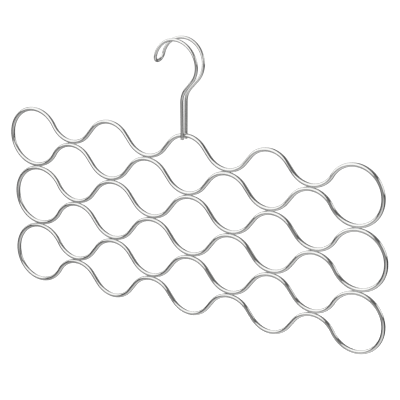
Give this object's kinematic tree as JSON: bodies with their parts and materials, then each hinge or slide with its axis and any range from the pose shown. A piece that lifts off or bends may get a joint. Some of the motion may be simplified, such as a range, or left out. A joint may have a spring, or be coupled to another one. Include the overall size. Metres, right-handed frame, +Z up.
{
  "type": "scarf hanger",
  "caption": "Flat scarf hanger of chromed wire: rows of round open lobes to thread scarves through, welded together under a hook of folded double wire.",
  "frame": {"origin": "the point inside the top of the hook where the rod bears on the wire, midway between the hook's two legs", "axes": "+X along the rows to the right as seen from the front, +Y from the front to the back through the wires, +Z up"},
  "size_m": [0.4255, 0.0172, 0.2684],
  "materials": {
    "polished_chrome": "bright chrome plate on round steel wire",
    "plated_weld": "chrome plate over small resistance welds, slightly duller"
  },
  "bodies": {
    "root": {"top_row_wire": "polished_chrome", "middle_row_wire": "polished_chrome", "bottom_row_wire": "polished_chrome", "hook_wire": "polished_chrome", "top_row_neck_welds": "plated_weld", "middle_row_neck_welds": "plated_weld", "bottom_row_neck_welds": "plated_weld", "upper_joint_welds": "plated_weld", "lower_joint_welds": "plated_weld", "hook_welds": "plated_weld"}
  },
  "joints": []
}
